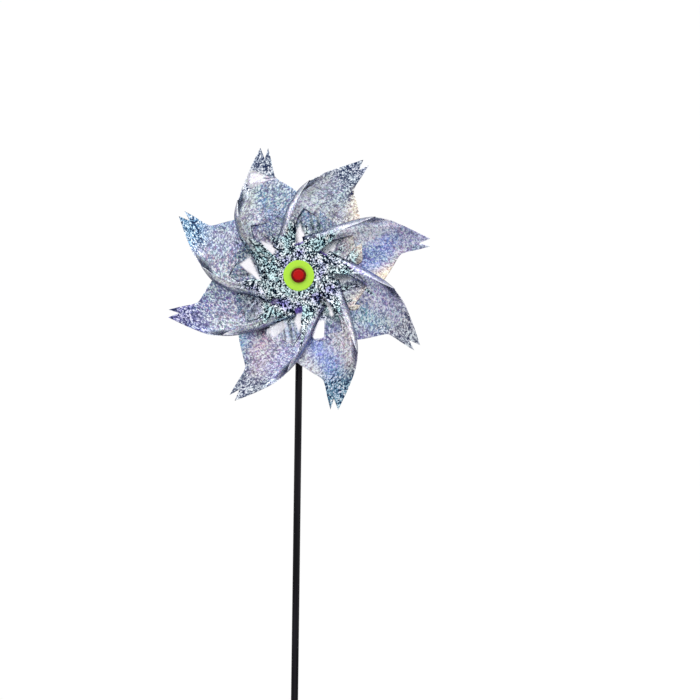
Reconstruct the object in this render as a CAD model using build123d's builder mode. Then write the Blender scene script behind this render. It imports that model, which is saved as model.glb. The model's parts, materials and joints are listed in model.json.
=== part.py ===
"""Garden pinwheel: eight curled film blades on a two-piece hub, spinning on a push-in axle pin at the
head of a hollow stake.

Row frame, millimetres: +Z is up the stake, the wheel faces -Y, and the origin is the centre of the
stake's lower end. Each blade is drawn flat on XY in its own frame: +X runs out to its forked tip, +Y is
anticlockwise as seen from the front of the wheel, and +Z points out of the wheel's face. Its rear eye
lies on z = 0.
"""

import os
from math import cos, radians, sin, tan

from build123d import *

os.makedirs("parts", exist_ok=True)

# ---- Driving dimensions --------------------------------------------------------------------------

AXLE_HEIGHT = 377.0

STAKE_LENGTH = 372.0
STAKE_RADIUS = 2.4
STAKE_BORE_RADIUS = 1.6

GAP = 0.1  # axial play between parts that turn against each other
HUB_FIT = 0.02  # between the boss and the tube that it plugs into
EYE_FIT = 0.1  # between a film eye and the hub part inside it
STACK_CLEARANCE = 0.04  # between the stack of front eyes and the front hub's disc

# The tee head
HEAD_BARREL_RADIUS = 3.5
HEAD_BARREL_HALF = 4.5
HEAD_NECK_RADIUS = 2.1
HEAD_PLUG_DEPTH = 14.0  # how far the head's plug goes down the tube
PLUG_TIP_CHAMFER = 0.5
PLUG_FIT = 0.02  # between the plug and the tube, and between the pin and the head
BARREL_EDGE = 0.25
RIB_COUNT = 3
RIB_HEIGHT = 0.35
RIB_WIDTH = 0.9
RIB_PITCH = 2.4

# The axle pin
AXLE_RADIUS = 1.2
PIN_FLANGE_RADIUS = 5.0
PIN_FLANGE_THICKNESS = 1.1
PIN_FLANGE_EDGE = 0.45
PIN_BUTTON_RADIUS = 3.5
PIN_BUTTON_HEIGHT = 2.3
PIN_BUTTON_EDGE = 0.9
BARB_RADIUS = 1.75
BARB_LENGTH = 3.0
BARB_LIP = 0.5
BARB_TIP_RADIUS = 0.7
SLOT_WIDTH = 0.6
SLOT_DEPTH = 6.5

# The bead and the hub's two halves
AXLE_BORE_RADIUS = 1.28  # running fit on the axle
BEAD_LENGTH = 4.2
BEAD_RADIUS = 2.6
BEAD_EDGE = 0.5
REAR_FLANGE_RADIUS = 9.0
REAR_FLANGE_THICKNESS = 1.5
FRONT_DISC_RADIUS = 10.2
FRONT_DISC_THICKNESS = 1.8
DISC_EDGE = 0.6
DISC_RECESS_RADIUS = 6.0
DISC_RECESS_DEPTH = 0.35
BOSS_LENGTH = 9.0
HUB_TUBE_RADIUS = 3.5
HUB_BOSS_RADIUS = 2.5

# The film blades
BLADE_COUNT = 8
FIRST_TIP_ANGLE = 15.0  # of the first blade's tip, anticlockwise from +X
TIP_RADIUS = 91.3
FILM = 0.2  # thickness of the film
LAYER = 0.22  # from one blade to the next in the stack on the hub
PITCH_ANGLE = 7.0  # how far each blade leans back about its own X axis
ROLL_EDGE = 25.3  # y of the roll's outermost line
ROLL_RADIUS = 4.2  # of the roll beside the hub
TIP_ROLL_RADIUS = 16.0  # of the wider roll at the tip
REAR_EYE_RADIUS = 8.5
FRONT_EYE_RADIUS = 15.5
ROLL_START = 8.7  # x of the roll's end beside the hub
FLAP_END = 60.5  # x where the front flap runs out into the roll
TAPER_START = 32.0  # x where the roll starts to widen
TAPER_END = TIP_RADIUS + 4  # x where the roll reaches TIP_ROLL_RADIUS, just past the tip
ROOT_X = 41.0  # x of the body's straight cut end, beside the slot
FLAT_ARM_END = 13.0  # x where the rear arm starts to lean
LEANING_ARM_START = 22.0  # x where the rear arm has the body's full lean
FLAT_ARM = (-7.6, 2.0)  # lowest and highest y of the rear arm at FLAT_ARM_END
LEANING_ARM = (-19.0, 1.0)  # and at LEANING_ARM_START
TIP = (TIP_RADIUS, 2.9)  # of the fork's first prong
FORK_NOTCH = (83.8, 2.0)  # between the prongs
SECOND_TIP = (90.2, -2.1)  # of the fork's second prong
INNER_EDGE = [
    (82.0, -2.0),
    (73.5, -1.6),
    (69.2, -2.6),
    (63.0, -8.5),
    (56.0, -14.8),
    (46.5, -21.3),
    (38.0, -26.6),
]
LOWER_CORNER = [(30.6, -30.8), (25.4, -27.4)]
OUTER_EDGE_START = (58.0, 26.5)  # where the outer edge parts from the roll
OUTER_EDGE = [(62.0, 24.9), (66.0, 22.9), (72.8, 18.1), (82.5, 10.9)]
BEYOND = ROLL_EDGE + 4  # y that is clear of the roll
SHEET_BOTTOM = -33.0  # y that is clear of the body
TALL = 60.0  # height of the solids that cut the film

# ---- Places along the wheel's axis, measured forwards from the stake's centreline ----------------

bead_back = HEAD_BARREL_HALF + GAP
rear_flange_back = bead_back + BEAD_LENGTH + GAP
film_back = rear_flange_back + REAR_FLANGE_THICKNESS  # the plane z = 0 of the first blade

pitch_slope = tan(radians(PITCH_ANGLE))


def roll_centre_z(radius):
    """Height of a roll's centre, where the roll is tangent to the leaning blade and reaches ROLL_EDGE."""
    touch_y = ROLL_EDGE - radius + radius * sin(radians(PITCH_ANGLE))
    return pitch_slope * touch_y + radius * cos(radians(PITCH_ANGLE))


film_depth = roll_centre_z(ROLL_RADIUS) + ROLL_RADIUS  # from the rear eye's back to the front eye's face
stack = (BLADE_COUNT - 1) * LAYER
front_disc_back = film_back + film_depth + stack + STACK_CLEARANCE
front_disc_face = front_disc_back + FRONT_DISC_THICKNESS
pin_flange_back = front_disc_face + GAP

WHEEL = Plane(origin=(0, 0, AXLE_HEIGHT), x_dir=(1, 0, 0), z_dir=(0, -1, 0))


def save(piece, name):
    """Labels a finished piece and writes its STEP file."""
    piece.part.label = name
    export_step(piece.part, f"parts/{name}.step")


# ---- Stake ---------------------------------------------------------------------------------------


def make_stake_tube():
    with BuildPart() as tube:
        with BuildSketch():
            Circle(STAKE_RADIUS)
            Circle(STAKE_BORE_RADIUS, mode=Mode.SUBTRACT)
        extrude(amount=STAKE_LENGTH)
    return tube


# ---- Tee head on the stake -----------------------------------------------------------------------


def make_stake_head():
    rib_span = (RIB_COUNT - 1) * RIB_PITCH
    with BuildPart() as head:
        with BuildSketch(WHEEL):
            Circle(HEAD_BARREL_RADIUS)
        extrude(amount=HEAD_BARREL_HALF, both=True)
        fillet(head.edges().filter_by(GeomType.CIRCLE), radius=BARREL_EDGE)
        for rib in range(RIB_COUNT):
            with BuildSketch(WHEEL.offset(rib * RIB_PITCH - rib_span / 2)):
                Circle(HEAD_BARREL_RADIUS + RIB_HEIGHT)
            extrude(amount=RIB_WIDTH / 2, both=True)
        with BuildSketch(Plane.XY.offset(STAKE_LENGTH)):
            Circle(HEAD_NECK_RADIUS)
        extrude(amount=AXLE_HEIGHT - STAKE_LENGTH)
        with BuildSketch(Plane.XY.offset(STAKE_LENGTH)):
            Circle(STAKE_BORE_RADIUS - PLUG_FIT)
        extrude(amount=-HEAD_PLUG_DEPTH)
        plug_tip = head.edges().group_by(Axis.Z)[0]
        chamfer(plug_tip, length=PLUG_TIP_CHAMFER)
        with BuildSketch(WHEEL):
            Circle(AXLE_RADIUS + PLUG_FIT)
        extrude(amount=HEAD_BARREL_HALF, both=True, mode=Mode.SUBTRACT)
    return head


# ---- Axle pin ------------------------------------------------------------------------------------


def make_axle_pin():
    barb_front = -HEAD_BARREL_HALF - GAP
    tail = barb_front - BARB_LENGTH
    button_back = pin_flange_back + PIN_FLANGE_THICKNESS
    button_face = button_back + PIN_BUTTON_HEIGHT
    half_section = Plane(origin=(0, 0, AXLE_HEIGHT), x_dir=(1, 0, 0), z_dir=(0, 0, 1))
    outline = [
        (0, -tail),
        (BARB_TIP_RADIUS, -tail),
        (BARB_RADIUS, -barb_front + BARB_LIP),
        (BARB_RADIUS, -barb_front),
        (AXLE_RADIUS, -barb_front),
        (AXLE_RADIUS, -pin_flange_back),
        (PIN_FLANGE_RADIUS, -pin_flange_back),
        (PIN_FLANGE_RADIUS, -button_back),
        (PIN_BUTTON_RADIUS, -button_back),
        (PIN_BUTTON_RADIUS, -button_face),
        (0, -button_face),
    ]
    with BuildPart() as pin:
        with BuildSketch(half_section):
            with BuildLine():
                Polyline(*outline, close=True)
            make_face()
        revolve(axis=Axis((0, 0, AXLE_HEIGHT), (0, 1, 0)))
        rims = pin.edges().filter_by(GeomType.CIRCLE)
        button_rim = rims.group_by(Axis.Y)[0]
        flange_rim = rims.filter_by(lambda e: abs(e.radius - PIN_FLANGE_RADIUS) < 0.01).group_by(Axis.Y)[0]
        fillet(button_rim, radius=PIN_BUTTON_EDGE)
        fillet(flange_rim, radius=PIN_FLANGE_EDGE)
        with BuildSketch(WHEEL.offset(tail)):
            Rectangle(SLOT_WIDTH, 4 * BARB_RADIUS)
        extrude(amount=SLOT_DEPTH, mode=Mode.SUBTRACT)
    return pin


# ---- Hub -----------------------------------------------------------------------------------------


def make_spacer_bead():
    with BuildPart() as bead:
        with BuildSketch(WHEEL.offset(bead_back)):
            Circle(BEAD_RADIUS)
        extrude(amount=BEAD_LENGTH)
        fillet(bead.edges().filter_by(GeomType.CIRCLE), radius=BEAD_EDGE)
        with BuildSketch(WHEEL.offset(bead_back)):
            Circle(AXLE_BORE_RADIUS)
        extrude(amount=BEAD_LENGTH, mode=Mode.SUBTRACT)
    return bead


def make_rear_hub():
    tube_front = film_back + film_depth - FILM
    with BuildPart() as hub:
        with BuildSketch(WHEEL.offset(rear_flange_back)):
            Circle(REAR_FLANGE_RADIUS)
        extrude(amount=REAR_FLANGE_THICKNESS)
        fillet(hub.edges().group_by(Axis.Y)[-1], radius=DISC_EDGE)
        with BuildSketch(WHEEL.offset(film_back)):
            Circle(HUB_TUBE_RADIUS)
        extrude(amount=tube_front - film_back)
        with BuildSketch(WHEEL.offset(tube_front)):
            Circle(HUB_BOSS_RADIUS + HUB_FIT)
        extrude(amount=-BOSS_LENGTH - GAP, mode=Mode.SUBTRACT)
        with BuildSketch(WHEEL.offset(rear_flange_back)):
            Circle(AXLE_BORE_RADIUS)
        extrude(amount=tube_front - rear_flange_back, mode=Mode.SUBTRACT)
    return hub


def make_front_hub():
    tube_front = film_back + film_depth - FILM
    with BuildPart() as hub:
        with BuildSketch(WHEEL.offset(front_disc_back)):
            Circle(FRONT_DISC_RADIUS)
        extrude(amount=FRONT_DISC_THICKNESS)
        fillet(hub.edges().group_by(Axis.Y)[0], radius=DISC_EDGE)
        with BuildSketch(WHEEL.offset(front_disc_face)):
            Circle(DISC_RECESS_RADIUS)
        extrude(amount=-DISC_RECESS_DEPTH, mode=Mode.SUBTRACT)
        with BuildSketch(WHEEL.offset(front_disc_back)):
            Circle(HUB_BOSS_RADIUS)
        extrude(amount=tube_front - BOSS_LENGTH - front_disc_back)
        with BuildSketch(WHEEL.offset(front_disc_face)):
            Circle(AXLE_BORE_RADIUS)
        extrude(amount=tube_front - BOSS_LENGTH - front_disc_face, mode=Mode.SUBTRACT)
    return hub


# ---- Film blade ----------------------------------------------------------------------------------


def film_section(x, radius):
    """The film's section at x: the leaning back, then the roll, then the flat front."""
    lean = radians(PITCH_ANGLE)
    centre = Vector(ROLL_EDGE - radius, roll_centre_z(radius))
    out_of_back = Vector(sin(lean), -cos(lean))
    touch = centre + out_of_back * radius
    inner_touch = centre + out_of_back * (radius - FILM)
    to_bottom = Vector(-cos(lean), -sin(lean)) * ((touch.X - SHEET_BOTTOM) / cos(lean))
    front_end = Vector(-FRONT_EYE_RADIUS - 1, centre.Y + radius)
    with BuildSketch(Plane(origin=(x, 0, 0), x_dir=(0, 1, 0), z_dir=(1, 0, 0))) as section:
        with BuildLine():
            Line(touch + to_bottom, touch)
            ThreePointArc(touch, centre + Vector(radius, 0), centre + Vector(0, radius))
            Line(centre + Vector(0, radius), front_end)
            Line(front_end, front_end - Vector(0, FILM))
            Line(front_end - Vector(0, FILM), centre + Vector(0, radius - FILM))
            ThreePointArc(centre + Vector(0, radius - FILM), centre + Vector(radius - FILM, 0), inner_touch)
            Line(inner_touch, inner_touch + to_bottom)
            Line(inner_touch + to_bottom, touch + to_bottom)
        make_face()
    return section.sketch


def make_rolled_film():
    """The sheet after rolling, before it is cut to outline."""
    sheet_start = -FRONT_EYE_RADIUS - 1
    with BuildPart() as film:
        add(film_section(sheet_start, ROLL_RADIUS))
        extrude(amount=TAPER_START - sheet_start, dir=(1, 0, 0))
        add(film_section(TAPER_START, ROLL_RADIUS))
        add(film_section(TAPER_END, TIP_ROLL_RADIUS))
        loft(ruled=True)
    return film


def roll_line():
    """The roll's outermost line, as points of x and z: it parts the blade's back from its front."""
    return [
        (-TALL, roll_centre_z(ROLL_RADIUS)),
        (TAPER_START, roll_centre_z(ROLL_RADIUS)),
        (TAPER_END, roll_centre_z(TIP_ROLL_RADIUS)),
    ]


def make_blade_back(film):
    """What lies behind the roll's outermost line: the leaning arm, the body and the forked tip."""
    with BuildPart() as back:
        add(film.part)
        with BuildSketch(Plane.XY.offset(-TALL)):
            with BuildLine():
                Spline(SECOND_TIP, *INNER_EDGE)
                Polyline(
                    INNER_EDGE[-1],
                    *LOWER_CORNER,
                    (LEANING_ARM_START, LEANING_ARM[0]),
                    (LEANING_ARM_START, LEANING_ARM[1]),
                    (31.0, -1.0),
                    (ROOT_X, -5.5),
                    (ROOT_X, 18.6),
                    (ROLL_START, 19.2),
                    (ROLL_START, BEYOND),
                    (OUTER_EDGE_START[0], BEYOND),
                    OUTER_EDGE_START,
                )
                Spline(OUTER_EDGE_START, *OUTER_EDGE, TIP)
                Polyline(TIP, FORK_NOTCH, SECOND_TIP)
            make_face()
        extrude(amount=2 * TALL, mode=Mode.INTERSECT)
        with BuildSketch(Plane.XZ.offset(-TALL)):
            with BuildLine():
                Polyline(*roll_line(), (TAPER_END, -TALL), (-TALL, -TALL), close=True)
            make_face()
        extrude(amount=2 * TALL, mode=Mode.INTERSECT)
    return back


def make_blade_front(film):
    """What lies in front of the roll's outermost line: the flap, and the eye that it runs to."""
    with BuildPart() as front:
        add(film.part)
        with BuildSketch(Plane.XY.offset(-TALL)):
            Circle(FRONT_EYE_RADIUS)
            with BuildLine():
                Polyline(
                    (-12.0, 9.0),
                    (-8.5, 18.7),
                    (ROLL_START, 20.6),
                    (ROLL_START, BEYOND),
                    (FLAP_END, BEYOND),
                    (FLAP_END, 25.0),
                    (56.7, 23.6),
                    (39.3, 22.7),
                    (32.0, 20.7),
                    (26.7, 16.0),
                    (15.7, 12.5),
                    (12.5, 8.5),
                    close=True,
                )
            make_face()
            Circle(HUB_BOSS_RADIUS + EYE_FIT, mode=Mode.SUBTRACT)
        extrude(amount=2 * TALL, mode=Mode.INTERSECT)
        with BuildSketch(Plane.XZ.offset(-TALL)):
            with BuildLine():
                Polyline(*roll_line(), (TAPER_END, TALL), (-TALL, TALL), close=True)
            make_face()
        extrude(amount=2 * TALL, mode=Mode.INTERSECT)
    return front


def arm_section(x, span, slope):
    """The rear arm's section at x, between the two y values in span, leaning back by slope."""
    low, high = span
    corners = [
        (low, slope * low),
        (high, slope * high),
        (high, slope * high + FILM),
        (low, slope * low + FILM),
    ]
    with BuildSketch(Plane(origin=(x, 0, 0), x_dir=(0, 1, 0), z_dir=(1, 0, 0))) as section:
        with BuildLine():
            Polyline(*corners, close=True)
        make_face()
    return section.sketch


def make_blade_blank():
    """One blade in its own frame."""
    film = make_rolled_film()
    back = make_blade_back(film)
    front = make_blade_front(film)
    with BuildPart() as blade:
        add(back.part)
        add(front.part)
        add(arm_section(FLAT_ARM_END, FLAT_ARM, 0))
        add(arm_section(LEANING_ARM_START, LEANING_ARM, pitch_slope))
        loft(ruled=True)
        with BuildSketch():
            Circle(REAR_EYE_RADIUS)
            with BuildLine():
                Polyline(
                    (0, -7.5),
                    (FLAT_ARM_END, FLAT_ARM[0]),
                    (FLAT_ARM_END, FLAT_ARM[1]),
                    (0, 7.5),
                    close=True,
                )
            make_face()
            Circle(HUB_TUBE_RADIUS + EYE_FIT, mode=Mode.SUBTRACT)
        extrude(amount=FILM)
    return blade


def make_blade(blank, index):
    """The blade at its own angle and its own place in the stack."""
    angle = FIRST_TIP_ANGLE + index * 360 / BLADE_COUNT
    with BuildPart(WHEEL.offset(film_back + index * LAYER)) as blade:
        add(blank.part, rotation=(0, 0, angle))
    return blade


save(make_stake_tube(), "stake_tube")
save(make_stake_head(), "stake_head")
save(make_axle_pin(), "axle_pin")
save(make_spacer_bead(), "spacer_bead")
save(make_rear_hub(), "rear_hub")
save(make_front_hub(), "front_hub")

blade_blank = make_blade_blank()
for blade_index in range(BLADE_COUNT):
    save(make_blade(blade_blank, blade_index), f"film_blade_{blade_index + 1}")
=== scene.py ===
"""The garden pinwheel's looks: curled blades of holographic film, moulded hub parts and a black stake.

Lengths inside the blade code are millimetres in the blade's own frame: x runs out to the forked tip, y is
anticlockwise as seen from the wheel's face, and z points out of the face, from the rear eye's plane.
A place on the flat sheet is (x, u), where u runs across the blade and round its roll.
"""

import json
import math

import bpy
from mathutils import Matrix, Vector, noise
from mathutils.geometry import delaunay_2d_cdt


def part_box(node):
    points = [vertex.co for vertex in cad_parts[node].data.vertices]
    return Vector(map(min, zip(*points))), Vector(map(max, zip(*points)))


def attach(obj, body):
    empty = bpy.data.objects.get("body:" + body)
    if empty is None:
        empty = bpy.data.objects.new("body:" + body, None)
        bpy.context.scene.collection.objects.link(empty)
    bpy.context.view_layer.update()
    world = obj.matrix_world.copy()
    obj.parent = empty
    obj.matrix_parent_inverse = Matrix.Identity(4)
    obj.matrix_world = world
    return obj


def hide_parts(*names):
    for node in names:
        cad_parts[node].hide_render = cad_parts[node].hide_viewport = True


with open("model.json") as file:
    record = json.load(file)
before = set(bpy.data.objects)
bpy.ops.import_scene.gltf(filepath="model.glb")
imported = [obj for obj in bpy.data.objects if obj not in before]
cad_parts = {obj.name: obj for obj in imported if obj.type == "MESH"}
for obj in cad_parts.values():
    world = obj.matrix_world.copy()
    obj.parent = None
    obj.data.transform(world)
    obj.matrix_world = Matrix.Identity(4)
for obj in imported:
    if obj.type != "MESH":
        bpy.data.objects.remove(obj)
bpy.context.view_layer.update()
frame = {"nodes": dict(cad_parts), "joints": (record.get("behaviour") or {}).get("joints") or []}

MM = 0.001
BLADE_COUNT = 8
FIRST_TIP_ANGLE = 15.0  # degrees anticlockwise from +X, as seen from the front
LAYER = 0.22  # from one blade to the next in the stack on the hub
REAR_FLANGE = 1.5  # thickness of the rear hub's flange
FILM = 0.16  # thickness of the film

axle = Vector(next(j for j in frame["joints"] if j["name"] == "wheel_spin")["pos_m"])
film_back = -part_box("rear_hub")[1].y / MM + REAR_FLANGE


# ---- The film's section ----------------------------------------------------------------------------

ROLL_EDGE = 25.3  # y of the roll's outermost line beside the hub
EDGE_BOW = 1.5  # how far that line bows out
EDGE_BOWS = (8, 36)  # x where it starts to bow out, and from which it has
EDGE_BENDS_IN = 46.0  # x where it starts to fall in towards the tip
EDGE_RUNS_IN = 60.0  # x from which it falls in steadily
EDGE_BEND = 0.010  # between those two, it falls by this times the square of the way along
EDGE_SLOPE = 0.12  # after them, it falls by this for each mm of x
HUB_ROLL_RADIUS = 4.2
TIP_ROLL_RADIUS = 16.0
TAPER_START = 20.0
TAPER_END = 95.0
FILM_DEPTH = 11.02  # height of the front eye's face
CUP_CURVE = 0.00496  # the body's section is the parabola z = CUP_CURVE * (y - CUP_Y)^2 + CUP_Z
CUP_Y = -7.9
ARM_EDGE = 14  # y of the rear arm's edge
ARM_LIFTS = (10.0, 30.0)  # x up to which the rear arm is flat, and from which it has the body's section


def smooth(low, high, value):
    """0 up to low, 1 from high on, and an even S between them."""
    t = max(0.0, min(1.0, (value - low) / (high - low)))
    return t * t * (3 - 2 * t)


def roll_edge(x):
    """y of the roll's outermost line, which bows out a little and then falls in towards the tip."""
    falling = max(0.0, min(EDGE_RUNS_IN - EDGE_BENDS_IN, x - EDGE_BENDS_IN))
    bowed = ROLL_EDGE + EDGE_BOW * smooth(*EDGE_BOWS, x)
    return bowed - EDGE_BEND * falling**2 - EDGE_SLOPE * max(0.0, x - EDGE_RUNS_IN)


def solve_roll(radius, edge, cup_z):
    """(centre y, centre z, lean, touch y) of a roll of this radius that is tangent to the cupped body."""
    lean = 0.2  # a first guess in radians, which the rounds below settle
    for _ in range(12):
        touch = edge - radius + radius * math.sin(lean)
        lean = math.atan(2 * CUP_CURVE * (touch - CUP_Y))
    height = CUP_CURVE * (touch - CUP_Y) ** 2 + cup_z
    return edge - radius, height + radius * math.cos(lean), lean, touch


CUP_Z = FILM_DEPTH - solve_roll(HUB_ROLL_RADIUS, ROLL_EDGE, 0)[1] - HUB_ROLL_RADIUS


def roll_radius(x):
    """The roll's radius, which widens from the hub to the tip."""
    along = max(0.0, min(1.0, (x - TAPER_START) / (TAPER_END - TAPER_START)))
    return HUB_ROLL_RADIUS + (TIP_ROLL_RADIUS - HUB_ROLL_RADIUS) * along


def roll_at(x):
    """What solve_roll gives for this blade at x."""
    return solve_roll(roll_radius(x), roll_edge(x), CUP_Z)


def back(x, y):
    """(x, u) of a point behind the roll's outermost line. u is 0 where the roll starts."""
    centre_y, _, lean, touch = roll_at(x)
    if y <= touch:
        return x, y - touch
    radius = roll_radius(x)
    turn = math.acos(max(-1.0, min(1.0, (y - centre_y) / radius)))
    return x, radius * (math.pi / 2 - lean - turn)


def front(x, y):
    """The same for a point in front of the roll's outermost line."""
    centre_y, _, lean, _ = roll_at(x)
    radius = roll_radius(x)
    if y <= centre_y:
        return x, radius * (math.pi - lean) + centre_y - y
    turn = math.acos(max(-1.0, min(1.0, (y - centre_y) / radius)))
    return x, radius * (math.pi / 2 - lean + turn)


def rolled(x, u):
    """Where the flat sheet's point (x, u) lies once the blade is rolled."""
    centre_y, centre_z, lean, touch = roll_at(x)
    radius = roll_radius(x)
    length = radius * (math.pi - lean)
    if u <= 0:
        y = touch + u
        lifted = smooth(*ARM_LIFTS, x) if y < ARM_EDGE else 1.0
        return Vector((x, y, lifted * (CUP_CURVE * (y - CUP_Y) ** 2 + CUP_Z)))
    if u <= length:
        turn = u / radius - (math.pi / 2 - lean)
        return Vector((x, centre_y + radius * math.cos(turn), centre_z + radius * math.sin(turn)))
    return Vector((x, centre_y - (u - length), centre_z + radius))


# ---- The film's outline ----------------------------------------------------------------------------

REAR_EYE_RADIUS = 8.5
REAR_EYE_BORE = 3.6
FRONT_EYE_RADIUS = 15.5
FRONT_EYE_BORE = 2.6
BORE_SIDES = 36
ROLL_START = 8.7  # x where the roll begins beside the hub
CURVE_STEPS = 6  # points from one given point of a curve to the next
GRID = 1.25  # spacing of the points inside a blade
GRID_ROW = 0.866  # a row's height, as a share of GRID
GRID_END = 92  # x just past the longer prong
CDT_FACES = 4  # faces inside the outline only, but the eyes' holes are filled too
CDT_MERGE = 1e-5  # points nearer to each other than this become one

OUTER_EDGE = [
    (59.5, 24.9), (63.5, 23.6), (67.0, 22.0), (70.5, 20.0), (75.5, 16.4), (82.5, 10.9), (91.7, 2.9),
]
FORK_BOTTOM = (83.8, 2.0)
INNER_EDGE = [
    (90.2, -2.1), (82.0, -2.0), (73.5, -1.6), (69.2, -2.6), (63.0, -8.5), (56.0, -14.8), (46.5, -21.3),
    (38.0, -26.6), (30.6, -30.8), (25.4, -27.4), (21.6, -19.5), (17.5, -11.5), (12.0, -7.5), (5.9, -6.1),
]
REAR_ARM_EDGE = [(5.5, 6.5), (13.0, 6.5), (22.0, 4.6), (30.6, 2.6), (36.0, 0.8), (40.7, -0.8)]
ROOT_CORNER = (42.2, 18.6)
ROLL_END_BEHIND = (ROLL_START, 19.4)
ROLL_END_BEFORE = (ROLL_START, 20.6)
EYE_SHOULDER = (-8.5, 18.7)
EYE_SIDE = (-12.2, 9.6)
FLAP_EDGE = [
    (14.6, 10.6), (19.5, 13.8), (25.5, 16.0), (29.6, 18.6), (33.0, 20.6), (39.5, 22.1), (48.0, 23.0),
    (54.5, 23.9), (59.0, 24.9),
]


def between(t, a, b, c, d):
    """The value a share t of the way from b to c, on a smooth curve by way of a, b, c and d."""
    square = 2 * a - 5 * b + 4 * c - d
    cube = 3 * b - a - 3 * c + d
    return 0.5 * (2 * b + (c - a) * t + square * t * t + cube * t**3)


def curve(points):
    """A smooth curve through the points, as a list of points."""
    made = []
    for i in range(len(points) - 1):
        before = points[max(0, i - 1)]
        after = points[min(len(points) - 1, i + 2)]
        for k in range(CURVE_STEPS):
            four = zip(before, points[i], points[i + 1], after)
            made.append(tuple(between(k / CURVE_STEPS, *values) for values in four))
    return made + [points[-1]]


def arc(radius, start, end, steps):
    """Points round the origin from one angle to another, in degrees."""
    angles = (math.radians(start + (end - start) * k / steps) for k in range(steps + 1))
    return [(radius * math.cos(a), radius * math.sin(a)) for a in angles]


def straight(a, b, steps):
    """Points from a towards b, without b."""
    return [tuple(p + (q - p) * k / steps for p, q in zip(a, b)) for k in range(steps)]


def blade_outline():
    """The flat sheet's outline, as a closed list of (x, u)."""
    behind = curve(OUTER_EDGE)[:-1]
    behind += straight(OUTER_EDGE[-1], FORK_BOTTOM, 6) + straight(FORK_BOTTOM, INNER_EDGE[0], 5)
    behind += curve(INNER_EDGE)
    behind += arc(REAR_EYE_RADIUS, -50, -310, 40)[1:-1] + curve(REAR_ARM_EDGE)
    behind += straight(REAR_ARM_EDGE[-1], ROOT_CORNER, 14) + straight(ROOT_CORNER, ROLL_END_BEHIND, 20)
    roll_end = straight(back(*ROLL_END_BEHIND), front(*ROLL_END_BEFORE), 14)
    before = straight(ROLL_END_BEFORE, EYE_SHOULDER, 8) + straight(EYE_SHOULDER, EYE_SIDE, 5)
    before += arc(FRONT_EYE_RADIUS, 142.0, 394.0, 80) + curve(FLAP_EDGE)
    return [back(*p) for p in behind] + roll_end + [front(*p) for p in before]


def clear_of(eyes, corners):
    """True where the middle of a triangle isn't in the hole of an eye."""
    middle = sum(corners, Vector((0, 0))) / 3
    return all((middle - eye).length > bore for eye, bore in eyes)


def film_mesh():
    """The blade's sheet as flat points and triangles."""
    outline = blade_outline()
    holes = [
        [back(x, y) for x, y in arc(REAR_EYE_BORE, 0, 360, BORE_SIDES)[:-1]],
        [front(x, y) for x, y in arc(FRONT_EYE_BORE, 0, 360, BORE_SIDES)[:-1]],
    ]
    points, edges = [], []
    for loop in [outline, *holes]:
        first = len(points)
        points += loop
        edges += [(first + k, first + (k + 1) % len(loop)) for k in range(len(loop))]
    u = min(place[1] for place in outline)
    high_u = max(place[1] for place in outline)
    row = 0
    while u < high_u:
        x = -FRONT_EYE_RADIUS - 1 + (row % 2) * GRID / 2
        while x < GRID_END:
            points.append((x, u))
            x += GRID
        u += GRID * GRID_ROW
        row += 1
    found = delaunay_2d_cdt([Vector(p) for p in points], edges, [], CDT_FACES, CDT_MERGE)
    flat, _, triangles, *_ = found
    eyes = [(Vector(back(0, 0)), REAR_EYE_BORE), (Vector(front(0, 0)), FRONT_EYE_BORE)]
    triangles = [t for t in triangles if clear_of(eyes, [flat[v] for v in t])]
    used = sorted({v for t in triangles for v in t})
    index = {v: k for k, v in enumerate(used)}
    return [tuple(flat[v]) for v in used], [tuple(index[v] for v in t) for t in triangles]


# ---- How each blade has settled --------------------------------------------------------------------

# One row for each blade, anticlockwise from the blade at FIRST_TIP_ANGLE: slip round the hub in degrees,
# then in mm how much further the tip reaches, how far the tip bends forwards, how far the outer half
# twists, and how far the roll bulges outwards. The lists below with a value for each blade are in the same
# order.
BLADE_SET = [
    (0.5, 0.0, 2.0, 1.5, 0.0),
    (0.8, 0.0, -1.5, -1.0, 2.8),
    (0.6, 1.4, 1.0, 1.0, 5.0),
    (1.6, 0.0, -1.0, 2.0, 4.0),
    (0.8, 0.0, 2.5, -1.5, 0.8),
    (1.2, 1.4, -1.0, 1.0, 0.6),
    (0.2, 0.6, -2.0, -1.0, 0.2),
    (-0.5, 1.0, 1.5, 1.5, 0.2),
]
# Each pair is where something starts and where it is complete.
TIP_BENDS = (38.0, 92.0)
TIP_LENGTHENS = (60.0, 92.0)
BULGE_RISES = (16.0, 38.0)
BULGE_FALLS = (46.0, 66.0)
BULGE_ACROSS = (4.0, 24.0)
DENTS_START = (24.0, 45.0)  # out from the axle, because the hub holds the film still
TWIST_ARM = 20  # distance from the blade's middle line where it moves by the twist given above
CREASED_BLADE = 2  # its tip is kinked back over a wedge-shaped band
KINK_DEPTH = 3.2
KINK_END = 12  # u where the kink stops, on the roll
CREASE_WIDENS = (-2.0, 18.0)  # y over which the pale band beside the kink widens into a wedge
CREASE_NARROW = (70.2, 70.8)  # x where the band begins and ends at its narrow end
CREASE_WIDENING = (3.4, 9.6)  # how much sooner it begins and how much later it ends at its wide end
COARSE_DENTS = (26, 17)  # their size along the blade and across it, and their depth
COARSE_DEPTH = 0.9
FINE_DENTS = 9
FINE_DEPTH = 0.16


def ripple(point, seed):
    """Small dents that handling leaves in the film, in mm."""
    along, across = COARSE_DENTS
    coarse = noise.noise(Vector((point.x / along, point.y / across, seed * 7.3)))
    fine = noise.noise(Vector((point.x / FINE_DENTS, point.y / FINE_DENTS, 40 + seed * 3.1)))
    return COARSE_DEPTH * coarse + FINE_DEPTH * fine


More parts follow.
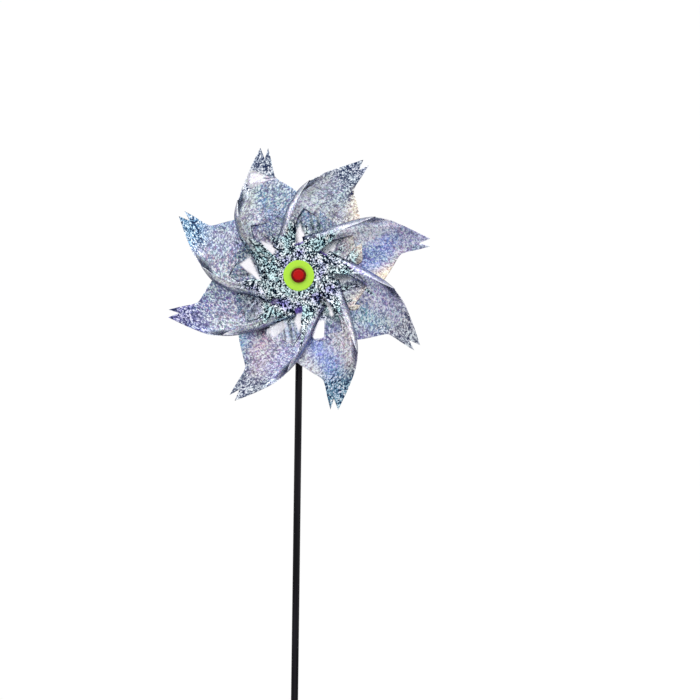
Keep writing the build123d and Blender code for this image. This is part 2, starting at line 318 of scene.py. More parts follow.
def crease(y):
    """Where the creased blade's pale band begins and ends along x."""
    spread = smooth(*CREASE_WIDENS, y)
    low = CREASE_NARROW[0] - CREASE_WIDENING[0] * spread
    return low, CREASE_NARROW[1] + CREASE_WIDENING[1] * spread


def shaped(x, u, blade):
    """The rolled point with this blade's own bend, twist and dents."""
    _, longer, tip_bend, twist, bulge = BLADE_SET[blade]
    p = rolled(x, u)
    reach = smooth(*TIP_BENDS, x)
    out = math.hypot(p.x, p.y)
    p.x += longer * smooth(*TIP_LENGTHENS, x)
    p.y += bulge * (smooth(*BULGE_RISES, x) - smooth(*BULGE_FALLS, x)) * smooth(*BULGE_ACROSS, p.y)
    p.z += tip_bend * reach**2 + twist * reach * p.y / TWIST_ARM
    p.z += ripple(p, blade) * smooth(*DENTS_START, out)
    if blade == CREASED_BLADE and u < KINK_END:
        low, high = crease(p.y)
        p.z -= KINK_DEPTH * smooth(low, high, x)
    return p


# ---- The film's colours and glitter ----------------------------------------------------------------

# The film's tints. The cream is above 1 so that it shows through the mottling.
PASTEL = {
    "pale": (0.62, 0.62, 0.69),
    "lavender": (0.44, 0.41, 0.72),
    "violet": (0.20, 0.16, 0.52),
    "blue": (0.16, 0.26, 0.70),
    "sky": (0.19, 0.42, 0.68),
    "teal": (0.18, 0.42, 0.56),
    "grey": (0.34, 0.38, 0.48),
    "cream": (1.25, 0.95, 0.60),
    "pink": (0.72, 0.50, 0.64),
    "sand": (0.54, 0.47, 0.45),
}
# Each blade's tint along its free edge, in its middle, by its roll and at its tip, and then how dark and
# glittery the tip is.
TINTS = [
    ("cream", "blue", "pale", "lavender", 0.0),
    ("cream", "grey", "pale", "grey", 1.0),
    ("sky", "teal", "pale", "grey", 1.0),
    ("blue", "lavender", "pale", "sky", 1.0),
    ("teal", "violet", "pale", "violet", 0.8),
    ("sky", "pink", "lavender", "grey", 0.8),
    ("pale", "blue", "sand", "teal", 1.0),
    ("violet", "teal", "lavender", "pale", 0.8),
]
# How bright each blade's tint is inside its tip: painted light, which depends on the slant that it has
# settled at.
SLANT_LIGHT = [1.45, 1.02, 0.72, 0.66, 0.60, 0.88, 1.60, 1.00]
# Painted glare: patches beside the hub that lie at the slant that throws the studio's white straight
# forwards are painted white. Each has its strength on each blade, its corners, and how soft its edge is in
# mm.
ARM_PATCH = [(23.5, 2.0), (23.2, -8.6), (27.5, -10.5), (35.0, -9.7)]
CORNER_PATCH = [(29.2, -30.7), (35.0, -26.0), (29.3, -15.5), (22.4, -19.8)]
MIDDLE_PATCH = [(36.5, -19.5), (25.2, -3.0), (28.5, -22.5)]
SLIT_PATCH = [(20.4, 1.8), (19.4, -0.4), (31.6, -11.4), (32.4, -9.4)]
GLARE_PATCHES = [
    ([0.6, 1.0, 1.0, 0.9, 0.0, 0.0, 1.0, 0.0], ARM_PATCH, 0.5),
    ([0.0, 0.0, 0.0, 0.0, 0.0, 0.0, 0.6, 1.0], CORNER_PATCH, 0.5),
    ([0.0, 0.0, 0.0, 0.0, 1.0, 0.0, 0.0, 0.0], MIDDLE_PATCH, 0.5),
    ([0.0, 0.0, 0.0, 0.0, 0.0, 0.0, 0.0, 1.0], SLIT_PATCH, 0.3),
]
# Painted shade: a deep violet patch on each blade's arm beside the hub, where it lies in shadow between the
# rolls. Its strength on each blade, its corners, and how soft its edge is in mm.
VIOLET_SHADE_STRENGTH = [0.0, 1.0, 1.0, 0.0, 0.0, 0.6, 1.0, 0.0]
VIOLET_SHADE_PATCH = [(18.5, 1.5), (18.0, -10.5), (24.6, -10.8), (24.4, -2.5)]
VIOLET_SOFTNESS = 0.7
PATCHES_END = 42  # x that every patch beside the hub stays below
CREASE_SHADE = (0.13, 0.10, 0.13)  # tint of the crease's band, darkened beneath its painted sheen where the kink catches the top lamp
# painted sheen on the crease's band, where the kink catches the top lamp
CREASE_SHEEN = 0.30
CREASE_EAR = [(65.5, 22.0), (64.8, 16.0), (72.5, 18.5)]  # a dark corner at the band's end
EAR_SOFTNESS = 0.4
WALL_PAINTED_LIGHT = (1.5, 1.5, 1.6)  # painted light: lightens the steep wall where the roll opens out, which little light reaches
WALL_SHARE = 0.85

# Each pair is where something starts and where it is complete: along x, out from the axle, or across, which
# is 0 where the roll starts and 1 where it ends.
ROLL_STARTS_ACROSS = (0.05, 0.35)
ROLL_ENDS_ACROSS = (0.85, 1.0)
FLAP_ACROSS = (0.90, 1.0)
FLAP_FADES = (26, 40)
WALL_ACROSS = (0.12, 0.35)
WALL_STARTS = (46, 56)
WALL_FADES = (66, 76)
BRUSHED_FADES = (34, 56)
BRUSHED_FADES_ACROSS = (0.0, 0.5)
DARK_TIP_STARTS = (62, 76)
TIP_TINT_STARTS = (60, 78)
GREY_FADES = (30, 48)
FACE_STARK = 0.20  # how stark the glitter is on the body, and how much that drifts
FACE_DRIFT = 0.16
ROLL_STARK = 0.04
RING_STARK = 0.97
RING_RADIUS = 28  # of the starker glitter round the hub, and how far its streaks run out past that
RING_STREAK = 28
RING_INNER_FADE = 3
RING_OUTER_FADE = 7
ROLL_LIGHTENS_TIP = 0.55
GREY_SHARE = 0.75
TINT_END = 24  # y of the far end of the tints
TINT_WANDERS = 6  # mm that the borders between tints wander
MIDDLE_TINT = (0.08, 0.42)  # shares of the way from the free edge to TINT_END
HIGH_TINT = (0.50, 0.80)
TINT_SPLIT = 0.45


def inside(x, y, corners, soft):
    """1 inside the convex loop of corners, 0 outside it, with an edge this soft in mm."""
    depth = 1e9
    for (ax, ay), (bx, by) in zip(corners, corners[1:] + corners[:1]):
        side = (bx - ax) * (y - ay) - (by - ay) * (x - ax)
        depth = min(depth, side / math.hypot(bx - ax, by - ay))
    return smooth(-soft, soft, depth)


def blend(a, b, t):
    """a where t is 0, b where it is 1, and a mixture between."""
    return tuple(p + (q - p) * t for p, q in zip(a, b))


def tint(x, sideways, blade):
    """The pastel colour at a place on a blade."""
    low, middle, high, tip, _ = TINTS[blade]
    wander = TINT_WANDERS * noise.noise(Vector((x / 24, sideways / 15, 60 + blade * 9.1)))
    free_edge = min(-3.0, -27 + 0.6 * (x - 38))  # a straight line near the true edge
    across = (sideways + wander - free_edge) / (TINT_END - free_edge)
    if across < TINT_SPLIT:
        colour = blend(PASTEL[low], PASTEL[middle], smooth(*MIDDLE_TINT, across))
    else:
        colour = blend(PASTEL[middle], PASTEL[high], smooth(*HIGH_TINT, across))
    near_hub = 1 - smooth(*GREY_FADES, math.hypot(x, sideways))
    colour = blend(colour, PASTEL["grey"], GREY_SHARE * near_hub)
    # painted light: the blade's tint is brightened or darkened by the slant it has settled at
    colour = tuple(SLANT_LIGHT[blade] * part for part in colour)
    return blend(colour, PASTEL[tip], smooth(*TIP_TINT_STARTS, x + 0.6 * wander))


def zones(x, u, point, blade):
    """What the film's pattern does at a place on a blade: how stark the glitter is, how white the painted
    sheen is, how dark the tip is and how brushed the film looks; then its tint and how strong the violet
    painted shade is."""
    _, _, lean, touch = roll_at(x)
    across = u / (roll_radius(x) * (math.pi - lean))
    sideways = touch + u if u < 0 else point.y
    out = math.hypot(point.x, point.y)
    drift = noise.noise(Vector((x / 11, u / 11, 5 + blade * 4.7)))
    streak = noise.noise(Vector((x / 30, u / 3.2, 90 + blade * 2.3)))
    in_roll = smooth(*ROLL_STARTS_ACROSS, across) * (1 - smooth(*ROLL_ENDS_ACROSS, across))
    ring = RING_RADIUS + RING_STREAK * max(0.0, streak)
    steep = smooth(*WALL_ACROSS, across) * smooth(*WALL_STARTS, x)

    stark = (FACE_STARK + FACE_DRIFT * drift) * (1 - in_roll) + ROLL_STARK * in_roll
    stark = max(stark, smooth(*FLAP_ACROSS, across) * (1 - smooth(*FLAP_FADES, x)))
    # the ring round the hub: stark glitter, partly painted reflection of what lies in front of the wheel
    stark = max(stark, RING_STARK * (1 - smooth(ring - RING_INNER_FADE, ring + RING_OUTER_FADE, out)))
    stark *= 1 - steep
    tip = TINTS[blade][-1] * smooth(*DARK_TIP_STARTS, x + 9 * drift) * (1 - ROLL_LIGHTENS_TIP * in_roll)
    brushed = (1 - smooth(*BRUSHED_FADES, out)) * (1 - smooth(*BRUSHED_FADES_ACROSS, across))
    wall = steep * (1 - smooth(*WALL_FADES, x))
    # painted light on the steep wall of the roll, which little light reaches
    colour = blend(tint(x, sideways, blade), WALL_PAINTED_LIGHT, WALL_SHARE * wall)
    white = 0.0
    if blade == CREASED_BLADE and u < KINK_END:
        low, high = crease(point.y)
        ear = inside(x, sideways, CREASE_EAR, EAR_SOFTNESS)
        band = smooth(low - 0.8, low + 0.3, x) * (1 - smooth(high - 0.5, high + 0.3, x)) * (1 - ear)
        stark *= 1 - band
        tip = max(ear, smooth(high - 0.3, high + 0.6, x))
        # the crease's band: its tint darkened, with a painted sheen over it
        colour = blend(colour, CREASE_SHADE, band)
        white = CREASE_SHEEN * band
    violet = 0.0
    if u < 0 and x < PATCHES_END:
        # painted shade: a violet patch where the arm lies in shadow between the rolls
        violet = VIOLET_SHADE_STRENGTH[blade] * inside(x, sideways, VIOLET_SHADE_PATCH, VIOLET_SOFTNESS)
        # painted glare: white sheen on the patches that throw the studio's white forwards
        glare = max(
            strength[blade] * inside(x, sideways, corners, soft)
            for strength, corners, soft in GLARE_PATCHES
        )
        white = max(white, glare)
        stark *= (1 - glare) * (1 - violet)
    return (stark, white, tip, brushed), (*colour, violet)


# ---- Blades ----------------------------------------------------------------------------------------

PATTERN_PITCH = 140  # mm between two blades' places in the glitter pattern, so that no two are alike
PATTERN_COLUMNS = 4
PATTERN_START = (30, 60)


def make_blade(flat, triangles, blade, material):
    """One blade on the wheel, with its zones and tints in its points and its place in the pattern."""
    slip = BLADE_SET[blade][0]
    angle = math.radians(FIRST_TIP_ANGLE + blade * 360 / BLADE_COUNT + slip)
    turn = Matrix.Rotation(angle, 3, "Z")
    base = film_back + blade * LAYER
    mesh = bpy.data.meshes.new(f"film_{blade + 1}")
    local = [shaped(x, u, blade) for x, u in flat]
    corners = []
    for point in local:
        p = turn @ point
        corners.append((axle.x + p.x * MM, -(base + p.z) * MM, axle.z + p.y * MM))
    mesh.from_pydata(corners, [], triangles)
    mesh.color_attributes.new("Zones", "FLOAT_COLOR", "POINT")
    mesh.color_attributes.new("Tint", "FLOAT_COLOR", "POINT")
    pattern = mesh.color_attributes["Zones"].data
    tints = mesh.color_attributes["Tint"].data
    for k, (x, u) in enumerate(flat):
        pattern[k].color, tints[k].color = zones(x, u, local[k], blade)
    sheet = mesh.uv_layers.new(name="Sheet")
    right = PATTERN_START[0] + PATTERN_PITCH * (blade % PATTERN_COLUMNS)
    up = PATTERN_START[1] + PATTERN_PITCH * (blade // PATTERN_COLUMNS)
    for loop in mesh.loops:
        x, u = flat[loop.vertex_index]
        sheet.data[loop.index].uv = ((x + right) / 1000, (u + up) / 1000)
    mesh.materials.append(material)
    for polygon in mesh.polygons:
        polygon.use_smooth = True
    piece = bpy.data.objects.new(f"film_{blade + 1}", mesh)
    bpy.context.scene.collection.objects.link(piece)
    thick = piece.modifiers.new("thickness", "SOLIDIFY")
    thick.thickness = FILM * MM
    thick.offset = 0
    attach(piece, "wheel")
    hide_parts(f"film_blade_{blade + 1}")


# ---- Materials -------------------------------------------------------------------------------------


class Nodes:
    """The node tree of a material or of the world, built by name."""

    def __init__(self, owner, shader="Principled BSDF"):
        owner.use_nodes = True
        self.owner = owner
        self.tree = owner.node_tree
        self.shader = self.tree.nodes[shader]

    def put(self, node, key, value):
        """Links a socket to one of the node's inputs, or sets the input to a value."""
        socket = node.inputs[key]
        if isinstance(value, bpy.types.NodeSocket):
            self.tree.links.new(value, socket)
        else:
            socket.default_value = value

    def add(self, kind, inputs=None, **settings):
        """Adds a node, sets its properties and fills its inputs."""
        node = self.tree.nodes.new(kind)
        for key, value in settings.items():
            setattr(node, key, value)
        for key, value in (inputs or {}).items():
            self.put(node, key, value)
        return node

    def math(self, operation, *values, clamp=False):
        inputs = dict(enumerate(values))
        return self.add("ShaderNodeMath", inputs, operation=operation, use_clamp=clamp).outputs[0]

    def above(self, value, start, gain):
        """How far a value is above the start, times the gain, from 0 to 1."""
        return self.math("MULTIPLY", self.math("SUBTRACT", value, start), gain, clamp=True)

    def below(self, value, start, gain):
        """How far a value is below the start, times the gain, from 0 to 1."""
        return self.math("MULTIPLY", self.math("SUBTRACT", start, value), gain, clamp=True)

    def vector(self, operation, *values):
        node = self.add("ShaderNodeVectorMath", dict(enumerate(values)), operation=operation)
        return node.outputs["Value" if operation in ("DOT_PRODUCT", "LENGTH") else "Vector"]

    def scaled(self, value, factor):
        node = self.add("ShaderNodeVectorMath", {0: value, "Scale": factor}, operation="SCALE")
        return node.outputs["Vector"]

    def noise(self, place, scale, detail, output="Fac"):
        inputs = {"Vector": place, "Scale": scale, "Detail": detail}
        return self.add("ShaderNodeTexNoise", inputs).outputs[output]

    def streaks(self, place, scales, detail):
        """Noise that is finer along some axes than along others."""
        stretched = self.add("ShaderNodeMapping", {"Vector": place, "Scale": scales}).outputs["Vector"]
        return self.noise(stretched, 1.0, detail)

    def fit(self, value, low, high, to_low=0.0, to_high=1.0, **settings):
        """The value, with the range from low to high spread from to_low to to_high."""
        inputs = {"Value": value, "From Min": low, "From Max": high, "To Min": to_low, "To Max": to_high}
        return self.add("ShaderNodeMapRange", inputs, **settings).outputs["Result"]

    def ramp(self, factor, stops):
        node = self.add("ShaderNodeValToRGB", {"Fac": factor})
        while len(node.color_ramp.elements) < len(stops):
            node.color_ramp.elements.new(0.5)
        for element, (place, colour) in zip(node.color_ramp.elements, stops):
            element.position = place
            element.color = (*colour, 1)
        return node.outputs["Color"]

    def mix(self, factor, a, b, mode="MIX"):
        node = self.add("ShaderNodeMix", data_type="RGBA", blend_type=mode)
        self.put(node, 0, factor)
        self.put(node, 6, a)
        self.put(node, 7, b)
        return node.outputs[2]

    def bump(self, height, strength, distance):
        inputs = {"Height": height, "Strength": strength, "Distance": distance}
        self.put(self.shader, "Normal", self.add("ShaderNodeBump", inputs).outputs["Normal"])


# Scales of the film's pattern, in cells to a metre of sheet.
SHARDS = 1050.0
SHARD_WARP = 1100.0
SWIRL = 370.0
CAST_PATCHES = 60.0
MOTTLING = 34.0
STREAK_SCALES = (18.0, 60.0, 1.0)
BRUSH_SCALES = (12.0, 420.0, 1.0)
WARP_LENGTH = 0.0014  # metres from one extreme of the shards' warp to the other
# How light a stroke is: bands of the swirl, and each shard's own share on top.
SWIRL_BANDS = 4.0
BAND_HEIGHT = 0.5
BAND_GAIN = 1.3
SHARD_GAIN = 0.75
STROKE_FLOOR = 0.14
# Where on the ramp of mottled colours a place falls: the shares of streaks, patches and its shard.
STREAK_SHARE = 1.1
PATCH_SHARE = 1.0
MOTTLE_SHARD_SHARE = 0.30
MOTTLE_START = 0.55
TINT_SHARE = 0.70
SHARD_COLOUR_SHARE = 0.18
# Strokes lighter than the first number turn bright and strokes darker than it turn dark, at the rate of the
# second number.
BODY_BRIGHT = (0.48, 1.15)
BODY_DARK = (0.42, 1.5)
TIP_BRIGHT = (0.62, 2.8)
TIP_DARK = (0.54, 3.2)
BODY_BRIGHT_COLOUR = (0.96, 0.98, 1.0, 1)
BODY_DARK_COLOUR = (0.06, 0.09, 0.19, 1)
TIP_BRIGHT_COLOUR = (0.95, 0.98, 1.0, 1)
TIP_DARK_COLOUR = (0.02, 0.035, 0.10, 1)
LINE_CONTRAST = (0.35, 0.62)
LINE_BRIGHTEST = 1.1
LINE_DARKEST = 0.88  # away from the hub, and how much darker the lines get where the film is brushed
BRUSHED_DEPTH = 0.66
# the deep and pale colours of the violet painted shade
VIOLET_SHADE_DEEP = (0.03, 0.015, 0.16, 1)
VIOLET_SHADE_PALE = (0.22, 0.14, 0.62, 1)
VIOLET_SHARE = 0.9
# the painted sheen's colour, on the glare patches and the crease's band
SHEEN_WHITE = (1.0, 0.985, 1.0, 1)
SHARD_LEAN = 0.07
STARK_LEAN = 0.25
FILM_ROUGHNESS = 0.18
SHARD_ROUGHNESS = 0.12
BACK_SHADE_LIMIT = (0.50, 0.50, 0.56)  # painted shade: a blade's tint is held down to this on its back, which the bright studio behind lights up
EDGE_SHEEN = (0.44, 0.45, 0.53, 1)  # what the film throws back at a grazing angle
HALF = (0.5, 0.5, 0.5)
MOTTLED_COLOURS = [
    (0.00, (0.52, 0.51, 0.66)),
    (0.14, (0.72, 0.58, 0.66)),
    (0.26, (0.80, 0.72, 0.58)),
    (0.36, (0.44, 0.58, 0.64)),
    (0.47, (0.26, 0.48, 0.60)),
    (0.56, (0.28, 0.36, 0.72)),
    (0.66, (0.46, 0.43, 0.70)),
    (0.76, (0.70, 0.52, 0.64)),
    (0.88, (0.58, 0.62, 0.70)),
    (1.00, (0.48, 0.48, 0.64)),
]
# The ring's near black and white: partly the film's glitter, partly painted reflection.
STARK_COLOURS = [
    (0.00, (0.002, 0.004, 0.012)),
    (0.38, (0.005, 0.013, 0.028)),
    (0.45, (0.03, 0.06, 0.11)),
    (0.51, (0.14, 0.25, 0.30)),
    (0.57, (0.80, 0.92, 0.94)),
    (1.00, (1.0, 1.0, 1.0)),
]
CAST_COLOURS = [
    (0.30, (0.50, 0.40, 0.95)),
    (0.40, (0.86, 0.84, 1.00)),
    (0.48, (1.00, 1.00, 1.00)),
    (0.56, (0.86, 1.00, 0.98)),
    (0.64, (0.64, 0.90, 0.91)),
    (0.72, (1.00, 0.90, 0.84)),
]


def film_material():
    """Metallised film pressed with small shards, each of which throws back its own light and colour."""
    n = Nodes(bpy.data.materials.new("holographic_film"))
    sheet = n.add("ShaderNodeUVMap", uv_map="Sheet").outputs["UV"]
    zone = n.add("ShaderNodeAttribute", attribute_name="Zones")
    stark, white, tip = n.add("ShaderNodeSeparateColor", {"Color": zone.outputs["Color"]}).outputs
    brushed = zone.outputs["Alpha"]
    painted = n.add("ShaderNodeAttribute", attribute_name="Tint")
    tint_colour = painted.outputs["Color"]
    surface = n.add("ShaderNodeNewGeometry").outputs["Normal"]
    facing = n.add("ShaderNodeSeparateXYZ", {"Vector": surface}).outputs["Y"]
    front_side = n.math("MULTIPLY", facing, -4.0, clamp=True)
    white = n.math("MULTIPLY", white, front_side)
    violet = n.math("MULTIPLY", painted.outputs["Alpha"], front_side)

    # The shards, with crooked edges, and how light each stroke of the pattern is.
    warp = n.noise(sheet, SHARD_WARP, 1.0, "Color")
    shift = n.scaled(n.vector("SUBTRACT", warp, HALF), WARP_LENGTH)
    warped = n.vector("ADD", sheet, shift)
    shards = n.add("ShaderNodeTexVoronoi", {"Vector": warped, "Scale": SHARDS}, distance="MANHATTAN")
    shard_colour = shards.outputs["Color"]
    one, two, three = n.add("ShaderNodeSeparateColor", {"Color": shard_colour}).outputs
    swirl = n.noise(sheet, SWIRL, 1.0)
    strokes = n.math("PINGPONG", n.math("MULTIPLY", swirl, SWIRL_BANDS), BAND_HEIGHT)
    own_share = n.math("MULTIPLY", n.math("SUBTRACT", two, 0.5), SHARD_GAIN)
    strokes = n.math("ADD", n.math("MULTIPLY", strokes, BAND_GAIN), own_share)
    strokes = n.math("ADD", strokes, STROKE_FLOOR, clamp=True)

    # The body: mottled pastels under the blade's own tint, brushed with fine lines beside the hub.
    streak = n.streaks(sheet, STREAK_SCALES, 2.0)
    patch = n.noise(sheet, MOTTLING, 2.0)
    wander = n.math("ADD", n.math("MULTIPLY", streak, STREAK_SHARE), n.math("MULTIPLY", patch, PATCH_SHARE))
    own_share = n.math("MULTIPLY", n.math("SUBTRACT", one, 0.5), MOTTLE_SHARD_SHARE)
    wander = n.math("ADD", wander, own_share)
    pastel = n.ramp(n.math("SUBTRACT", wander, MOTTLE_START), MOTTLED_COLOURS)
    # painted shade on the film's back: its tint is held down there
    shaded_back = n.vector("MINIMUM", tint_colour, BACK_SHADE_LIMIT)
    pastel = n.mix(TINT_SHARE, pastel, n.mix(front_side, shaded_back, tint_colour))
    pastel = n.mix(SHARD_COLOUR_SHARE, pastel, shard_colour)
    pastel = n.mix(n.above(strokes, *BODY_BRIGHT), pastel, BODY_BRIGHT_COLOUR)
    pastel = n.mix(n.below(strokes, *BODY_DARK), pastel, BODY_DARK_COLOUR)
    darkest = n.math("SUBTRACT", LINE_DARKEST, n.math("MULTIPLY", brushed, BRUSHED_DEPTH))
    lines = n.fit(n.streaks(sheet, BRUSH_SCALES, 3.0), *LINE_CONTRAST, darkest, LINE_BRIGHTEST)
    pastel = n.mix(1.0, pastel, lines, "MULTIPLY")

    # The ring round the hub: near black and white, with a faint cast that changes from place to place. Its
    # black and white are partly the film's own glitter and partly painted reflection of the dark space and
    # bright lamps in front of the wheel, which its shards, facing forwards, throw back.
    cast = n.ramp(n.noise(sheet, CAST_PATCHES, 2.0), CAST_COLOURS)
    black_white = n.mix(1.0, n.ramp(strokes, STARK_COLOURS), cast, "MULTIPLY")

    # The tips: the blade's tint with dark and bright strokes.
    tipped = n.mix(n.below(strokes, *TIP_DARK), tint_colour, TIP_DARK_COLOUR)
    tipped = n.mix(n.above(strokes, *TIP_BRIGHT), tipped, TIP_BRIGHT_COLOUR)

    base = n.mix(tip, pastel, tipped)
    base = n.mix(stark, base, black_white)
    deep = n.mix(two, VIOLET_SHADE_DEEP, VIOLET_SHADE_PALE)
    base = n.mix(n.math("MULTIPLY", violet, VIOLET_SHARE), base, deep)
    # painted sheen: white laid over the glare patches and the crease's band
    base = n.mix(white, base, SHEEN_WHITE)

    # Each shard leans its own way, most where the glitter is stark and not where the painted sheen is
    # white.
    loose = n.math("ADD", n.math("MULTIPLY", stark, STARK_LEAN), SHARD_LEAN)
    loose = n.math("MULTIPLY", loose, n.math("SUBTRACT", 1.0, white))
    tilt = n.scaled(n.vector("SUBTRACT", shard_colour, HALF), loose)
    n.put(n.shader, "Base Color", base)
    n.put(n.shader, "Metallic", 1.0)
    n.put(n.shader, "Specular Tint", EDGE_SHEEN)
    own_share = n.math("MULTIPLY", three, SHARD_ROUGHNESS)
    n.put(n.shader, "Roughness", n.math("ADD", own_share, FILM_ROUGHNESS))
    n.put(n.shader, "Normal", n.vector("NORMALIZE", n.vector("ADD", surface, tilt)))
    return n.owner


# Scales of the plastics' patterns, in cells to a metre.
GLOSS_DRIFT = 160.0
ORANGE_PEEL = 1800.0
EXTRUSION_LINES = (620.0, 620.0, 14.0)
SCUFFS = 60.0
# Painted shade: the red pin is darker round its raised button, from COLLAR_STARTS out from the axle.
PIN_COLLAR_SHADE = (0.16, 0.002, 0.002)
COLLAR_STARTS = (3.4 * MM, 3.8 * MM)
DULLER = 0.08  # how far a moulding's roughness drifts up and down from its given one
GLOSSIER = 0.05
PEEL_BUMP = (0.12, 0.0002)  # strength, and depth in metres
LINE_BUMP = (0.04, 0.00005)
LINE_SHADES = ((0.002, 0.002, 0.003, 1), (0.013, 0.011, 0.016, 1))
LINE_SHADE_RANGE = (0.45, 0.72)
SCUFF_RANGE = (0.35, 0.75)
TUBE_GLOSS = (0.10, 0.20)
TUBE_SPECULAR = 0.11
GLOW_DEPTH = 0.0012  # how deep light runs in the yellow-green plastic, and each colour's share of that
GLOW_COLOURS = (0.9, 1.0, 0.25)


def moulded(name, colour, shade, *, roughness, specular, subsurface=0.0, collar_shade=None):
    """Injection-moulded plastic: fine orange peel, uneven gloss and faint colour drift. A collar colour,
    where given, is painted shade round the pin's raised button, laid further out from the axle than
    COLLAR_STARTS."""
    n = Nodes(bpy.data.materials.new(name))
    place = n.add("ShaderNodeTexCoord").outputs["Object"]
    drift = n.noise(place, GLOSS_DRIFT, 3.0)
    base = n.mix(drift, (*colour, 1), (*shade, 1))
    if collar_shade:
        # painted shade round the pin's raised button
        off_axle = n.vector("MULTIPLY_ADD", place, (1, 0, 1), (-axle.x, 0, -axle.z))
        base = n.mix(n.fit(n.vector("LENGTH", off_axle), *COLLAR_STARTS), base, (*collar_shade, 1))
    n.put(n.shader, "Base Color", base)
    n.put(n.shader, "Roughness", n.fit(drift, 0.0, 1.0, roughness - GLOSSIER, roughness + DULLER))
    n.put(n.shader, "Specular IOR Level", specular)
    n.bump(n.noise(place, ORANGE_PEEL, 2.0), *PEEL_BUMP)
    if subsurface:
        n.put(n.shader, "Subsurface Weight", subsurface)
        n.put(n.shader, "Subsurface Radius", GLOW_COLOURS)
        n.put(n.shader, "Subsurface Scale", GLOW_DEPTH)
    return n.owner


def extruded(name):
    """Black extruded tube: soft streaks along its length and a few dull scuffs."""
    n = Nodes(bpy.data.materials.new(name))
    place = n.add("ShaderNodeTexCoord").outputs["Object"]
    streaks = n.streaks(place, EXTRUSION_LINES, 3.0)
    scuff = n.noise(place, SCUFFS, 5.0)
    n.put(n.shader, "Base Color", n.mix(n.fit(streaks, *LINE_SHADE_RANGE), *LINE_SHADES))
    n.put(n.shader, "Specular IOR Level", TUBE_SPECULAR)
    n.put(n.shader, "Roughness", n.fit(scuff, *SCUFF_RANGE, *TUBE_GLOSS))
    n.bump(streaks, *LINE_BUMP)
    return n.owner


def paint(node, material):
    """Gives every slot of a CAD node the material."""
    for place in frame["nodes"][node].material_slots:
        place.material = material


# ---- Stage -----------------------------------------------------------------------------------------

FLOOR_RADIUS = 0.38  # in metres, like the rest of the stage
FLOOR_SIDES = 96
FLOOR_FADE_START = 0.02  # how far from the stake the floor starts to fade
FLOOR_FADE_LIGHT = 0.5
STUDIO_STRENGTH = 1.42
BACKDROP_WHITE = 1.01 / STUDIO_STRENGTH  # just past white once it is multiplied by the strength
STUDIO_BRIGHTEST = (0.04, -0.99, -0.1)  # in front of the wheel's face
# The studio's grey by how nearly a direction is the one above, after the clouds shift it.
STUDIO_GREYS = [(0.0, 0.44), (0.16, 0.48), (0.32, 0.64), (0.50, 0.52), (0.80, 0.70), (1.0, 0.78)]
STUDIO_CAST = (0.99, 0.985, 1.02)
CLOUD_SCALE = 1.7
CLOUD_SHIFT = 0.5
HEIGHT_RANGE = (-0.45, 0.35)  # a direction's upward part, and the light at its two ends
HEIGHT_LIGHT = (0.62, 1.12)
PAPER_SHADES = ((0.62, 0.62, 0.62, 1), (0.66, 0.66, 0.66, 1))
PAPER_FIBRE = 40.0
PAPER_ROUGHNESS = 0.9
WHITE = (1.0, 1.0, 1.0, 1.0)
# Name, place, width and height, and watts.
LIGHTS = [
    ("left_softbox", (-1.1, -0.35, 0.75), (0.9, 1.3), 3.0),
    ("right_softbox", (1.1, -0.2, 0.6), (0.8, 1.3), 2.4),
    ("top_softbox", (0.0, -0.5, 1.5), (1.3, 0.9), 4.0),
]
CAMERA_PLACE = (0.0345, -0.850, axle.z - 0.0994)
CAMERA_PITCH = 3.49  # degrees up
CAMERA_ROLL = 0.62
CAMERA_LENS = 64.54
CAMERA_SENSOR = 36.0


def make_floor():
    """A round sheet of pale studio paper whose rim fades into the white of the backdrop."""
    angles = [math.tau * k / FLOOR_SIDES for k in range(FLOOR_SIDES)]
    rim = [(FLOOR_RADIUS * math.cos(a), FLOOR_RADIUS * math.sin(a), 0) for a in angles]
    mesh = bpy.data.meshes.new("floor")
    mesh.from_pydata(rim, [], [tuple(range(FLOOR_SIDES))])
    floor = bpy.data.objects.new("floor", mesh)
    bpy.context.scene.collection.objects.link(floor)
    n = Nodes(bpy.data.materials.new("floor_paper"))
    place = n.add("ShaderNodeTexCoord").outputs["Object"]
    n.put(n.shader, "Base Color", n.mix(n.noise(place, PAPER_FIBRE, 4.0), *PAPER_SHADES))
    n.put(n.shader, "Roughness", PAPER_ROUGHNESS)
    far = n.vector("LENGTH", place)
    fade = n.fit(far, FLOOR_FADE_START, FLOOR_RADIUS, interpolation_type="SMOOTHSTEP")
    n.put(n.shader, "Emission Color", WHITE)
    n.put(n.shader, "Emission Strength", n.math("MULTIPLY", fade, FLOOR_FADE_LIGHT))
    mesh.materials.append(n.owner)


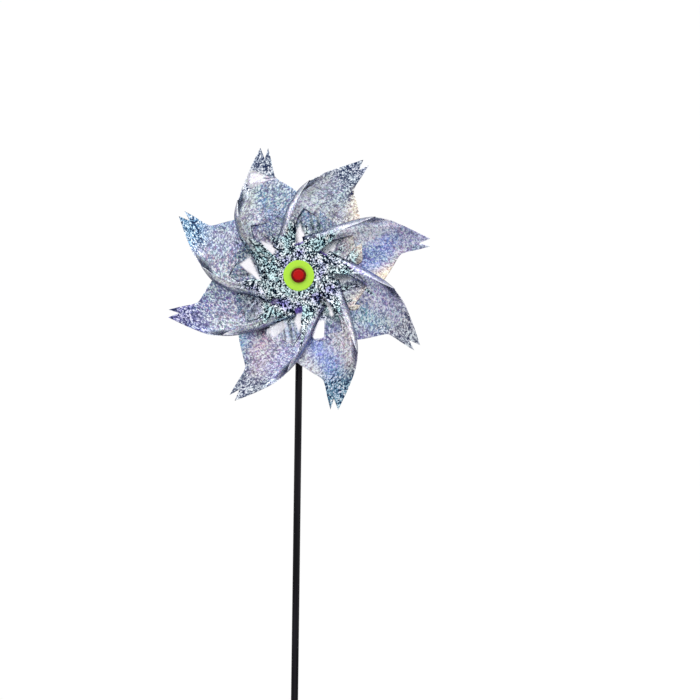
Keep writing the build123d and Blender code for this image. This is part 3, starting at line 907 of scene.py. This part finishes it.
def make_world():
    """Grey studio with soft unevenness, lighter above than below, that the camera sees as plain white."""
    world = bpy.data.worlds.new("studio")
    bpy.context.scene.world = world
    n = Nodes(world, "Background")
    direction = n.add("ShaderNodeTexCoord").outputs["Generated"]
    toward = n.vector("DOT_PRODUCT", direction, STUDIO_BRIGHTEST)
    clouds = n.noise(direction, CLOUD_SCALE, 1.0)
    greys = [(place, tuple(grey * part for part in STUDIO_CAST)) for place, grey in STUDIO_GREYS]
    room = n.ramp(n.math("MULTIPLY_ADD", clouds, CLOUD_SHIFT, toward), greys)
    up = n.add("ShaderNodeSeparateXYZ", {"Vector": direction}).outputs["Z"]
    room = n.scaled(room, n.fit(up, *HEIGHT_RANGE, *HEIGHT_LIGHT))
    seen = n.add("ShaderNodeLightPath").outputs["Is Camera Ray"]
    n.put(n.shader, "Color", n.mix(seen, room, (BACKDROP_WHITE, BACKDROP_WHITE, BACKDROP_WHITE, 1)))
    n.put(n.shader, "Strength", STUDIO_STRENGTH)


def make_light(name, place, size, power):
    """A softbox that faces the wheel."""
    data = bpy.data.lights.new(name, "AREA")
    data.shape = "RECTANGLE"
    data.size, data.size_y = size
    data.energy = power
    light = bpy.data.objects.new(name, data)
    light.location = place
    light.rotation_euler = (axle - Vector(place)).to_track_quat("-Z", "Y").to_euler()
    bpy.context.scene.collection.objects.link(light)


def make_camera():
    """In front of the wheel, a little below it and to its right, looking slightly up."""
    pitch, roll = math.radians(CAMERA_PITCH), math.radians(CAMERA_ROLL)
    ahead = Vector((0, math.cos(pitch), math.sin(pitch)))
    right = Vector((1, 0, 0))
    up = right.cross(ahead)
    side = right * math.cos(roll) + up * math.sin(roll)
    top = up * math.cos(roll) - right * math.sin(roll)
    data = bpy.data.cameras.new("camera")
    data.sensor_width = CAMERA_SENSOR
    data.lens = CAMERA_LENS
    camera = bpy.data.objects.new("camera", data)
    turn = Matrix((side, top, -ahead)).transposed().to_4x4()
    camera.matrix_world = Matrix.Translation(CAMERA_PLACE) @ turn
    bpy.context.scene.collection.objects.link(camera)
    bpy.context.scene.camera = camera


# ---- Making it -------------------------------------------------------------------------------------

film = film_material()
flat_points, film_triangles = film_mesh()
for number in range(BLADE_COUNT):
    make_blade(flat_points, film_triangles, number, film)

green = moulded(
    "lime_plastic", (0.42, 0.76, 0.035), (0.47, 0.84, 0.050), roughness=0.34, specular=0.35, subsurface=0.25
)
black = moulded(
    "black_plastic", (0.008, 0.008, 0.010), (0.014, 0.014, 0.016), roughness=0.4, specular=0.3
)
red = moulded(
    "red_plastic",
    (0.40, 0.001, 0.001),
    (0.50, 0.002, 0.002),
    roughness=0.22,
    specular=0.14,
    collar_shade=PIN_COLLAR_SHADE,
)
for node in ("front_hub", "rear_hub", "spacer_bead"):
    paint(node, green)
paint("axle_pin", red)
paint("stake_head", black)
paint("stake_tube", extruded("black_tube"))

make_floor()
make_world()
for light in LIGHTS:
    make_light(*light)
make_camera()
bpy.context.scene.view_settings.view_transform = "Standard"
